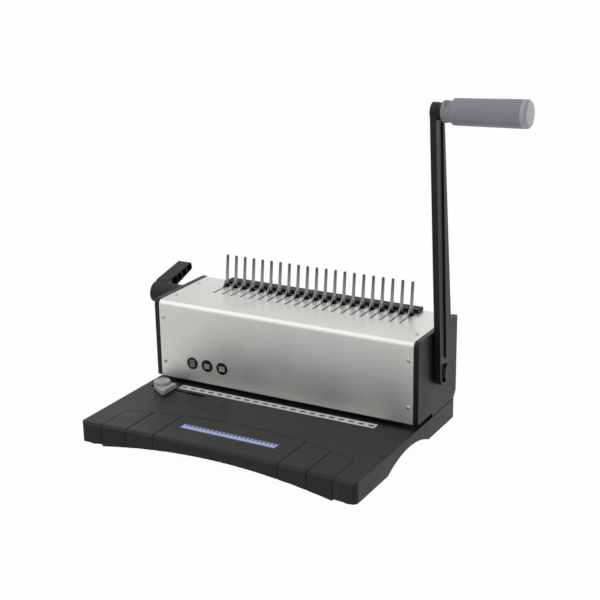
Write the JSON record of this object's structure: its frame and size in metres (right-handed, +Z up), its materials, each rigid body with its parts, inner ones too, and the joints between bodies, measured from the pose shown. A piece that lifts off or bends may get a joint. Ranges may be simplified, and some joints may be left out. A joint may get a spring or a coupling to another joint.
{
  "type": "comb binding machine",
  "caption": "Desk machine that punches a row of slots in paper with a tall side lever and opens a plastic comb on upright fingers with a small lever.",
  "frame": {"origin": "middle of the base's footprint, on the desk under the feet", "axes": "+X to the right as the user sits in front, +Y to the back, +Z up"},
  "size_m": [0.5684, 0.3098, 0.453],
  "materials": {
    "black_plastic": "fine texture",
    "black_paint": "satin",
    "silver_paint": "satin silver",
    "steel": "ground",
    "nickel": "plated",
    "bronze": "sintered",
    "grip_plastic": "smooth",
    "guide_plastic": "smooth",
    "rubber": "matt",
    "label_blue": "printed",
    "strip_white": "printed",
    "badge_black": "printed"
  },
  "bodies": {
    "base": {"base_shell": "black_plastic", "bottom_plate": "steel", "base_screws": "nickel", "rubber_feet": "rubber", "drawer_rails": "steel", "scale_strip": "strip_white", "die_bar": "steel", "stripper_bar": "steel", "throat_spacers": "steel", "paper_stop": "steel", "guide_posts": "nickel", "shaft_bushes": "bronze", "frame_left": "steel", "frame_right": "steel", "tie_rods": "nickel", "side_panel_left": "black_plastic", "side_panel_right": "black_plastic", "top_cover": "silver_paint", "rear_cover": "black_paint", "cover_screws": "nickel", "badges": "badge_black", "comb_fingers": "nickel", "comb_support": "steel", "comb_bar": "black_plastic", "hook_rails": "steel", "opener_bushes": "bronze"},
    "handle": {"main_shaft": "nickel", "punch_pinions": "steel", "shaft_collars": "steel", "handle_arm": "black_paint", "grip_spindle": "nickel", "grip_collar": "grip_plastic", "handle_grip": "grip_plastic", "grip_cap": "grip_plastic"},
    "punch": {"punch_carrier": "steel", "punches": "nickel", "clamp_bar": "steel", "clamp_screws": "nickel", "punch_racks": "steel"},
    "opener": {"opener_shaft": "nickel", "opener_pinions": "steel", "opener_collars": "steel", "opener_lever": "black_plastic", "lever_screw": "nickel"},
    "hooks": {"hook_plate": "nickel", "hook_racks": "steel"},
    "drawer": {"chip_drawer": "black_plastic", "drawer_label": "label_blue"},
    "guide": {"guide_block": "guide_plastic", "guide_clamp": "steel"},
    "guide_lock": {"guide_knob": "guide_plastic", "guide_stud": "nickel"}
  },
  "joints": [
    {"name": "handle_swing", "type": "hinge", "parent": "base", "child": "handle", "pos_m": [0.2049, 0.0915, 0.0875], "axis": [1, 0, 0], "range_deg": [0, 70]},
    {"name": "punch_stroke", "type": "slide", "parent": "base", "child": "punch", "axis": [0, 0, -1], "range_m": [0, 0.013]},
    {"name": "lever_swing", "type": "hinge", "parent": "base", "child": "opener", "pos_m": [-0.1998, 0.0962, 0.1309], "axis": [1, 0, 0], "range_deg": [0, 125]},
    {"name": "hook_slide", "type": "slide", "parent": "base", "child": "hooks", "axis": [0, -1, 0], "range_m": [0, 0.01908]},
    {"name": "drawer_slide", "type": "slide", "parent": "base", "child": "drawer", "axis": [0, -1, 0], "range_m": [0, 0.11]},
    {"name": "guide_slide", "type": "slide", "parent": "base", "child": "guide", "axis": [1, 0, 0], "range_m": [-0.012, 0.065]},
    {"name": "knob_turn", "type": "hinge", "parent": "guide", "child": "guide_lock", "pos_m": [-0.171, -0.003, 0.0377], "axis": [0, 0, 1], "range_deg": [0, 180]}
  ],
  "couplings": [
    {"joint": "punch_stroke", "follows": "handle_swing", "m_per_rad": 0.010625},
    {"joint": "lever_swing", "follows": "hook_slide", "rad_per_m": 114.29}
  ]
}
